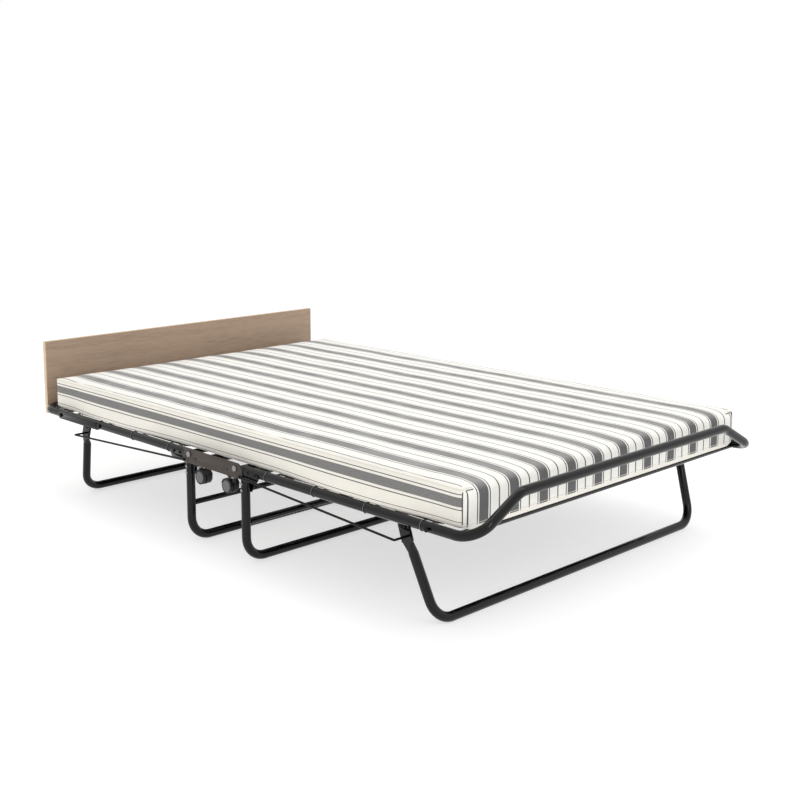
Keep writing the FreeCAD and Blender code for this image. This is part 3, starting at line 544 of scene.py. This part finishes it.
def softened(node, name, width, segments, material):
    """A pressed or turned part with its sharp edges rounded, standing for its node."""
    piece = bpy.data.objects.new(name, frame["nodes"][node].data.copy())
    piece.data.name = name
    bpy.context.scene.collection.objects.link(piece)
    only(piece)
    if piece.data.has_custom_normals:
        bpy.ops.mesh.customdata_custom_splitnormals_clear()
    bpy.ops.object.mode_set(mode="EDIT")
    bpy.ops.mesh.select_all(action="SELECT")
    bpy.ops.mesh.remove_doubles(threshold=0.01 * MM)
    bpy.ops.mesh.dissolve_limited(angle_limit=math.radians(1))
    bpy.ops.object.mode_set(mode="OBJECT")
    apply_modifier(piece, "BEVEL", width=width, segments=segments, limit_method="ANGLE",
                   angle_limit=math.radians(40))
    smooth(piece)
    paint(piece, material)
    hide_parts(node)
    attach(piece, body_of_node(node))


# ---------------------------------------------------------------- mattress
def stuffed(piece, cap):
    """Blow the cover up gently with a cloth simulation, and keep each point near where it was."""
    scene = bpy.context.scene
    starts = [vertex.co.copy() for vertex in piece.data.vertices]
    cloth = piece.modifiers.new("Stuffing", "CLOTH")
    cloth.settings.quality = 4
    cloth.settings.use_pressure = True
    cloth.settings.uniform_pressure_force = 4
    cloth.settings.effector_weights.gravity = 0
    cloth.point_cache.frame_start = 1
    cloth.point_cache.frame_end = 20
    for number in range(1, 21):
        scene.frame_set(number)
    only(piece)
    bpy.ops.object.modifier_apply(modifier=cloth.name)
    scene.frame_set(1)
    for vertex, start in zip(piece.data.vertices, starts):
        move = vertex.co - start
        if move.length > cap:
            vertex.co = start + move * (cap / move.length)


def ease(value):
    """Smooth step from nought to one."""
    value = min(1.0, max(0.0, value))
    return value * value * (3 - 2 * value)


def lie_on_frame(point, settings):
    """Where a point of the cover comes to rest: soft undulations, the edge sinking over the side rails."""
    x, y, z = point
    along = abs(x - CARRIAGE_X)
    aside = abs(y)
    high = ease((z - 0.30) / 0.05)
    z += 1.6 * MM * high * noise.noise(Vector((x * 5.0, y * 5.0, 3.0)))
    z += 0.7 * MM * high * noise.noise(Vector((x * 14.0, y * 14.0, 7.0)))
    edge = ease((aside - settings.half_width + 0.04) / 0.04)
    z -= high * edge * (1.0 * MM + 1.6 * MM * noise.noise(Vector((x * 6.0, math.copysign(2.0, y), 0.0))))
    wall = ease((aside - settings.half_width + 0.015) / 0.012) * ease((0.362 - z) / 0.03)
    aside += wall * (1.2 * MM * noise.noise(Vector((x * 7.0, math.copysign(5.0, y), z * 9.0))) - 0.4 * MM)
    # the lower edge hangs outside the rails between the corner and the hinge
    droop = ease((along - 0.20) / 0.30) * (1 - ease((along - 0.60) / 0.26))
    aside += 17 * MM * wall * droop * ease((0.345 - z) / 0.07)
    if aside > 0.575 and z < 0.30:
        z = max(z, 0.2748 - 0.0095 * droop)
    # past the last cross tube the ends hang a little lower
    z = max(z, settings.underside)
    z -= 8.5 * MM * ease((along - 0.884) / 0.012) * ease((0.300 - z) / 0.03) * ease((0.57 - aside) / 0.03)
    z = min(z, settings.top + 0.002)
    # never closer to a rail than its spring hooks
    over = aside - RAIL_Y, z - RAIL_Z
    distance = math.hypot(*over)
    if distance < RAIL_CLEARANCE:
        if distance < 0.1 * MM:
            over, distance = (0.0, 1.0), 1.0
        aside = RAIL_Y + over[0] / distance * RAIL_CLEARANCE
        z = RAIL_Z + over[1] / distance * RAIL_CLEARANCE
    if along < 0.215 and z < 0.286:
        aside = min(aside, CENTRE_PLATE_Y)
    return Vector((x, math.copysign(aside, y), z))


def seam_cord(source, name, plane, normal, test, radius, material):
    """A sewn cord along the line where a plane meets the cover, kept where a test allows."""
    cord = copied(source, name, Matrix.Identity(4))
    only(cord)
    bpy.ops.object.mode_set(mode="EDIT")
    bpy.ops.mesh.select_mode(type="VERT")
    bpy.ops.mesh.select_all(action="SELECT")
    bpy.ops.mesh.bisect(plane_co=plane, plane_no=normal)
    bpy.ops.mesh.select_all(action="INVERT")
    bpy.ops.mesh.delete(type="VERT")
    bpy.ops.object.mode_set(mode="OBJECT")
    pick(cord, "VERT", lambda place: not test(place))
    bpy.ops.mesh.delete(type="VERT")
    bpy.ops.object.mode_set(mode="OBJECT")
    bpy.ops.object.convert(target="CURVE")
    cord = bpy.context.object
    cord.data.bevel_depth = radius
    cord.data.bevel_resolution = 1
    cord.data.use_fill_caps = True
    bpy.ops.object.convert(target="MESH")
    cord = bpy.context.object
    smooth(cord, 60)
    paint(cord, material)
    return cord


def fit_to_size(piece, settings):
    """Bring a swollen pad back to its sewn length, width and height."""
    places = [vertex.co for vertex in piece.data.vertices]
    reach = max(abs(place.x - CARRIAGE_X) for place in places)
    side = max(abs(place.y) for place in places)
    low, high = min(place.z for place in places), max(place.z for place in places)
    for place in places:
        place.x = CARRIAGE_X + (place.x - CARRIAGE_X) * settings.end_reach / reach
        place.y *= settings.half_width / side
        place.z = settings.underside + (place.z - low) * (settings.top - settings.underside) / (high - low)


def remember_rest(piece):
    """Store each point's place and upward tilt at rest, which the ticking's stripes follow when it folds."""
    count = len(piece.data.vertices)
    places, tilts = [0.0] * (3 * count), []
    piece.data.vertices.foreach_get("co", places)
    for vertex in piece.data.vertices:
        tilts.append(vertex.normal.z)
    piece.data.attributes.new("rest_place", "FLOAT_VECTOR", "POINT").data.foreach_set("vector", places)
    piece.data.attributes.new("upward", "FLOAT", "POINT").data.foreach_set("value", tilts)


def halves(piece, name):
    """Cut a piece at the middle of the carriage into its head and foot halves, each closed."""
    found = {}
    for end, sign in ENDS.items():
        half = copied(piece, f"{name}_{end}", Matrix.Identity(4))
        only(half)
        bpy.ops.object.mode_set(mode="EDIT")
        bpy.ops.mesh.select_all(action="SELECT")
        bpy.ops.mesh.bisect(plane_co=(CARRIAGE_X, 0, 0), plane_no=(sign, 0, 0), use_fill=True, clear_inner=True)
        bpy.ops.object.mode_set(mode="OBJECT")
        found[end] = half
    bpy.data.objects.remove(piece)
    return found


def bend_with_frame(half):
    """Put the half's place and turn into its mesh."""
    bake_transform(half)


class BED_OT_mattress(bpy.types.Operator):
    """Build the stuffed mattress in two halves, with its sewn edge cords"""
    bl_idname = "bed.mattress"
    bl_label = "Mattress"

    def execute(self, context):
        settings = context.scene.rollaway_mattress
        shrink = settings.swell * 0.85
        reach_in, half = settings.end_reach - shrink, settings.half_width - shrink
        low, high = settings.underside + 1.5 * MM, settings.top - shrink
        slab = block("mattress", (CARRIAGE_X - reach_in, -half, low), (CARRIAGE_X + reach_in, half, high))
        # upright corners, then the ends' top edges broadly and every other edge a little
        pick(slab, "EDGE", lambda middle, along: abs(along.z) > 0.9)
        bpy.ops.mesh.bevel(offset=0.022, segments=4)
        pick(slab, "EDGE", lambda middle, along: middle.z > high - MM and abs(middle.x - CARRIAGE_X) > reach_in - MM
             and abs(along.y) > 0.9)
        bpy.ops.mesh.bevel(offset=0.026, segments=5)
        pick(slab, "EDGE", lambda middle, along: middle.z > high - MM and abs(middle.y) > half - MM
             and abs(along.x) > 0.9)
        bpy.ops.mesh.bevel(offset=0.007, segments=3)
        bpy.ops.object.mode_set(mode="OBJECT")
        only(slab)
        slab.data.remesh_voxel_size = settings.voxel
        bpy.ops.object.voxel_remesh()
        stuffed(slab, settings.swell)
        fit_to_size(slab, settings)
        apply_modifier(slab, "SUBSURF", levels=1, render_levels=1)
        for vertex in slab.data.vertices:
            vertex.co = lie_on_frame(vertex.co, settings)
        apply_modifier(slab, "SMOOTH", factor=0.4, iterations=2)
        cover = ticking_material(settings)
        pale = thread_material("Cotton piping, undyed", settings.border_cloth)
        dark = thread_material("Cotton piping, dark", settings.fine_line)
        paint(slab, cover)
        reach_seam = settings.end_reach - END_SEAM_INSET
        beside = settings.half_width - SIDE_SEAM_DEPTH

        def on_side(place):
            return abs(place.y) > beside and abs(place.x - CARRIAGE_X) < reach_seam

        cords = {
            "top_piping": seam_cord(slab, "top_piping", (0, 0, TOP_SEAM_Z), (0, 0, 1), on_side, settings.piping,
                                    pale),
            "lower_piping": seam_cord(slab, "lower_piping", (0, 0, LOWER_SEAM_Z), (0, 0, 1), lambda place: True,
                                      settings.piping * 0.6, pale),
        }
        corner_cords = {}
        for end, sign in ENDS.items():
            plane = (CARRIAGE_X + sign * reach_seam, 0, 0)
            corner_cords[end] = seam_cord(
                slab, f"corner_piping_{end}", plane, (1, 0, 0),
                lambda place: abs(place.y) > beside and CORNER_SEAM_Z[0] < place.z < CORNER_SEAM_Z[1],
                settings.piping, dark)
        for end, half_piece in halves(slab, "mattress").items():
            half_piece.name = f"mattress_{end}_half"
            smooth(half_piece, 60)
            remember_rest(half_piece)
            bend_with_frame(half_piece)
            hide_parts(f"mattress_{end}")
            if end == "head":
                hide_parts("mattress_middle")
            bend_with_frame(corner_cords[end])
        for name, cord in cords.items():
            for end, half_cord in halves(cord, name).items():
                bend_with_frame(half_cord)
        return {"FINISHED"}


# ---------------------------------------------------------------- headboard
class BED_OT_headboard(bpy.types.Operator):
    """Build the laminated headboard with its glued edge band"""
    bl_idname = "bed.headboard"
    bl_label = "Headboard"

    def execute(self, context):
        settings = context.scene.rollaway_board
        low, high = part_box("headboard_panel")
        board = block("headboard", low, high)
        apply_modifier(board, "BEVEL", width=settings.edge_round, segments=3)
        paint(board, laminate_material("Wood-grain laminate, inner face", settings.face, 0.72),
              laminate_material("Wood-grain laminate, outer face", settings.outer, 0.8),
              laminate_material("Laminate edge band", settings.edge, 0.85))
        for face in board.data.polygons:
            if face.normal.x > 0.9:
                face.material_index = 0
            elif face.normal.x < -0.9:
                face.material_index = 1
            else:
                face.material_index = 2
        smooth(board)
        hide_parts("headboard_panel")
        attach(board, "head_frame")
        return {"FINISHED"}


# ---------------------------------------------------------------- deck
class BED_OT_deck(bpy.types.Operator):
    """Build the woven deck panels and the tension springs that stretch them"""
    bl_idname = "bed.deck"
    bl_label = "Deck and springs"

    def execute(self, context):
        settings = context.scene.rollaway_deck
        weave = deck_material(settings)
        for end in ENDS:
            low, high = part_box(f"{end}_deck_mesh")
            size = high - low
            middle = (low + high) / 2
            bpy.ops.mesh.primitive_grid_add(x_subdivisions=24, y_subdivisions=44, size=1,
                                            location=(middle.x, middle.y, high.z - settings.thickness))
            bpy.context.object.scale = (size.x, size.y, 1)
            panel = added(f"{end}_deck_panel")
            for vertex in panel.data.vertices:
                inward = min(1.0, (size.x / 2 - abs(vertex.co.x - middle.x)) / 0.12)
                inward *= min(1.0, (size.y / 2 - abs(vertex.co.y)) / 0.12)
                vertex.co.z -= settings.sag * ease(inward)
            apply_modifier(panel, "SOLIDIFY", thickness=settings.thickness, offset=0)
            smooth(panel)
            paint(panel, weave)
            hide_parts(f"{end}_deck_mesh")
            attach(panel, f"{end}_frame")
        self.springs(context.scene.rollaway_metal)
        return {"FINISHED"}

    def springs(self, settings):
        """Close-wound springs with a hook round the rail and a hook over the deck wire."""
        wire, radius = settings.spring_wire, settings.spring_radius
        steel = plated_material("Drawn spring steel", settings.spring, 0.35)
        inner, outer = 0.5555, 0.5785
        pitch = 2.2 * wire
        bpy.ops.mesh.primitive_circle_add(vertices=8, radius=wire, location=(radius, 0, 0))
        coil = added("spring")
        turns = int((outer - inner) / pitch)
        apply_modifier(coil, "SCREW", axis="Y", angle=2 * math.pi, screw_offset=pitch, iterations=turns,
                       steps=12, render_steps=12, use_smooth_shade=True)
        coil.data.transform(Matrix.Translation((0, inner, DECK_WIRE_Z)))
        pick(coil, "EDGE", lambda middle, along: False)
        bpy.ops.mesh.select_non_manifold()
        bpy.ops.mesh.fill()
        bpy.ops.object.mode_set(mode="OBJECT")
        rings = [coil]
        for name, across, height, major in (("rail_hook", RAIL_Y, RAIL_Z, 0.01345),
                                            ("wire_hook", DECK_WIRE_Y, DECK_WIRE_Z, 0.0042)):
            bpy.ops.mesh.primitive_torus_add(major_segments=28, minor_segments=8, major_radius=major,
                                             minor_radius=wire, location=(0, across, height),
                                             rotation=(0, math.pi / 2, 0))
            hook = added(name)
            # open the hook on its lower inner side
            only(hook)
            gap = Vector((0, -0.35 if name == "rail_hook" else 0.2, -1)).normalized()
            pick(hook, "FACE", lambda middle, normal, c=Vector((0, across, height)), g=gap:
                 (middle - c).normalized().dot(g) > 0.86)
            bpy.ops.mesh.delete(type="FACE")
            bpy.ops.mesh.select_mode(type="EDGE")
            bpy.ops.mesh.select_all(action="DESELECT")
            bpy.ops.mesh.select_non_manifold()
            bpy.ops.mesh.fill()
            bpy.ops.object.mode_set(mode="OBJECT")
            rings.append(hook)
        joined(rings)
        pick(coil, "VERT", lambda place: True)
        bpy.ops.mesh.normals_make_consistent(inside=False)
        bpy.ops.object.mode_set(mode="OBJECT")
        smooth(coil, 60)
        paint(coil, steel)
        for end, outward in ENDS.items():
            group = []
            for side, sign in SIDES.items():
                for reach in SPRING_REACHES:
                    place = Matrix.Translation((CARRIAGE_X + outward * reach, 0, 0))
                    turn = Matrix.Rotation(0 if sign > 0 else math.pi, 4, "Z")
                    group.append(copied(coil, f"{end}_spring_{side}_{int(reach / MM)}", place @ turn))
            springs = joined(group)
            springs.name = f"{end}_springs"
            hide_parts(f"{end}_deck_springs")
            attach(springs, f"{end}_frame")
        bpy.data.objects.remove(coil)


# ---------------------------------------------------------------- hardware
class BED_OT_hardware(bpy.types.Operator):
    """Round the edges of plates, bolts and rivets, and enamel the tubes and wires"""
    bl_idname = "bed.hardware"
    bl_label = "Metal parts"

    def execute(self, context):
        settings = context.scene.rollaway_metal
        enamel = enamel_material("Gloss black enamel", settings.enamel, 0.12, 2.5, 0.4)
        satin = enamel_material("Satin black enamel", settings.wire_enamel, 0.3, 1.5, 0.1)
        plate = enamel_material("Grey-brown enamel", settings.plate_enamel, 0.42, 1.2, 0.0)
        zinc = plated_material("Bright zinc plate", settings.zinc, 0.32)
        done = {"black_enamel": enamel, "rod_enamel": satin, "plate_enamel": plate, "zinc_fasteners": zinc}
        plates = ["centre_plate_left", "centre_plate_right", "carriage_leg_brackets", "headboard_brackets",
                  "latch_arm_left", "latch_arm_right"]
        for end in ENDS:
            plates += [f"{end}_hinge_gussets", f"{end}_leg_brackets", f"{end}_centre_leg_plates"]
        heads = ["frame_pivot_bolts", "centre_leg_pivot_bolts", "latch_pivot_rivets", "latch_studs",
                 "headboard_screws"]
        for end in ENDS:
            heads += [f"{end}_leg_pivot_bolts", f"{end}_centre_leg_bolts", f"{end}_gusset_rivets"]
        slots = {row["node"]: row["material_slot"] for row in frame["record"]["subparts"]}
        for node in plates:
            softened(node, node + "_pressed", settings.edge_round, 2, done[slots[node]])
        for node in heads:
            softened(node, node + "_domed", settings.head_round, 3, done[slots[node]])
        for node, part in frame["nodes"].items():
            if slots[node] in done and not part.hide_render:
                paint(part, done[slots[node]])
        return {"FINISHED"}


# ---------------------------------------------------------------- casters
class BED_OT_casters(bpy.types.Operator):
    """Build the twin wheels with their hub discs, and finish the caster bodies"""
    bl_idname = "bed.casters"
    bl_label = "Casters"

    def execute(self, context):
        settings = context.scene.rollaway_caster
        nylon = moulded_material("Moulded black nylon", settings.body, 0.4)
        tread = moulded_material("Black wheel tread", settings.tread, 0.5)
        hub = moulded_material("Grey moulded hub", settings.hub, 0.45)
        pair = self.wheel_pair(settings)
        paint(pair, tread, hub)
        for face in pair.data.polygons:
            radius = math.hypot(face.center.x, face.center.z)
            if abs(face.normal.y) > 0.5 and abs(face.center.y) > 0.013 and radius < settings.hub_radius:
                face.material_index = 1
        for end in ENDS:
            for side in SIDES:
                low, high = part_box(f"caster_{end}_{side}_wheels")
                wheels = copied(pair, f"caster_{end}_{side}_twin_wheels", Matrix.Translation((low + high) / 2))
                smooth(wheels)
                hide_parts(f"caster_{end}_{side}_wheels")
                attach(wheels, f"caster_{end}_{side}_roller")
                paint(frame["nodes"][f"caster_{end}_{side}_yoke"], nylon)
        bpy.data.objects.remove(pair)
        return {"FINISHED"}

    def wheel_pair(self, settings):
        """Two wheels on their axle, centred on the origin with the axle along Y."""
        pieces = []
        for sign in (1, -1):
            bpy.ops.mesh.primitive_cylinder_add(vertices=64, radius=settings.wheel_radius, depth=0.0095,
                                                location=(0, sign * 0.01075, 0), rotation=(math.pi / 2, 0, 0))
            wheel = added("wheel")
            pick(wheel, "FACE", lambda middle, normal, s=sign: normal.y * s > 0.9)
            bpy.ops.mesh.inset(thickness=settings.wheel_radius - settings.hub_radius - 0.8 * MM, depth=0)
            bpy.ops.mesh.inset(thickness=0.4 * MM, depth=-1.5 * MM)
            bpy.ops.mesh.inset(thickness=0.6 * MM, depth=0)
            bpy.ops.mesh.inset(thickness=0.5 * MM, depth=1.1 * MM)
            bpy.ops.mesh.inset(thickness=settings.hub_radius * 0.5, depth=0.3 * MM)
            bpy.ops.mesh.inset(thickness=settings.hub_radius * 0.2, depth=0)
            pick(wheel, "EDGE", lambda middle, along: math.hypot(middle.x, middle.z) > settings.wheel_radius * 0.98
                 and abs(along.y) < 0.5)
            bpy.ops.mesh.bevel(offset=1.5 * MM, segments=3)
            bpy.ops.object.mode_set(mode="OBJECT")
            pieces.append(wheel)
        bpy.ops.mesh.primitive_cylinder_add(vertices=24, radius=0.0028, depth=0.013, rotation=(math.pi / 2, 0, 0))
        pieces.append(added("axle"))
        return joined(pieces)


# ---------------------------------------------------------------- stage
class BED_OT_stage(bpy.types.Operator):
    """Lay the pale floor, place the soft lights and set the camera"""
    bl_idname = "bed.stage"
    bl_label = "Stage"

    def execute(self, context):
        settings = context.scene.rollaway_studio
        scene = context.scene
        bpy.ops.mesh.primitive_plane_add(size=300, location=(0, 0, 0))
        floor = added("studio_floor")
        paint(floor, floor_material(settings.floor))
        world = bpy.data.worlds.new("White surround")
        world.use_nodes = True
        world.node_tree.nodes["Background"].inputs["Color"].default_value = (1, 1, 1, 1)
        world.node_tree.nodes["Background"].inputs["Strength"].default_value = settings.sky
        scene.world = world
        scene.view_settings.view_transform = "Standard"
        for name, place, size, wide, power in (("key", (-1.6, 1.6, 3.4), 2.6, 2.6, settings.key_power),
                                               ("strip", (0.6, 0.4, 3.2), 0.3, 3.0, settings.strip_power),
                                               ("fill", (3.4, -0.6, 2.2), 0.25, 1.8, settings.fill_power)):
            bpy.ops.object.light_add(type="AREA", location=place)
            lamp = bpy.context.object
            lamp.name = name + "_light"
            lamp.data.shape = "RECTANGLE"
            lamp.data.size = size
            lamp.data.size_y = wide
            lamp.data.energy = power
            aim = Vector(LIGHTS_AIM) - Vector(place)
            lamp.rotation_euler = aim.to_track_quat("-Z", "Y").to_euler()
        bpy.ops.object.camera_add(location=CAMERA_PLACE,
                                  rotation=tuple(math.radians(turn) for turn in CAMERA_TURN))
        camera = bpy.context.object
        camera.data.lens = settings.lens
        camera.data.sensor_width = 36
        camera.data.shift_x = 0.0095
        camera.data.shift_y = -0.1
        scene.camera = camera
        return {"FINISHED"}


class BED_PT_panel(bpy.types.Panel):
    """Lists the bed's build steps and their settings"""
    bl_idname = "BED_PT_panel"
    bl_label = "Rollaway Bed"
    bl_space_type = "VIEW_3D"
    bl_region_type = "UI"
    bl_category = "Rollaway Bed"

    def draw(self, context):
        for operator, group in STEPS:
            column = self.layout.column()
            column.operator(operator)
            settings = getattr(context.scene, group)
            for name in settings.__annotations__:
                column.prop(settings, name)


GROUPS = {
    "rollaway_mattress": MattressSettings,
    "rollaway_metal": MetalSettings,
    "rollaway_board": BoardSettings,
    "rollaway_deck": DeckSettings,
    "rollaway_caster": CasterSettings,
    "rollaway_studio": StudioSettings,
}
STEPS = (
    ("bed.hardware", "rollaway_metal"),
    ("bed.casters", "rollaway_caster"),
    ("bed.deck", "rollaway_deck"),
    ("bed.headboard", "rollaway_board"),
    ("bed.mattress", "rollaway_mattress"),
    ("bed.stage", "rollaway_studio"),
)
CLASSES = (BED_OT_hardware, BED_OT_casters, BED_OT_deck, BED_OT_headboard, BED_OT_mattress, BED_OT_stage,
           BED_PT_panel)


def register():
    """Register the settings, operators and panel."""
    for name, group in GROUPS.items():
        bpy.utils.register_class(group)
        setattr(bpy.types.Scene, name, bpy.props.PointerProperty(type=group))
    for cls in CLASSES:
        bpy.utils.register_class(cls)


def unregister():
    """Take everything off again."""
    for cls in reversed(CLASSES):
        bpy.utils.unregister_class(cls)
    for name, group in GROUPS.items():
        delattr(bpy.types.Scene, name)
        bpy.utils.unregister_class(group)


def main():
    """Build the whole bed."""
    register()
    bpy.ops.object.select_all(action="DESELECT")
    for operator, _ in STEPS:
        family, name = operator.split(".")
        getattr(getattr(bpy.ops, family), name)()


if __name__ == "__main__":
    main()
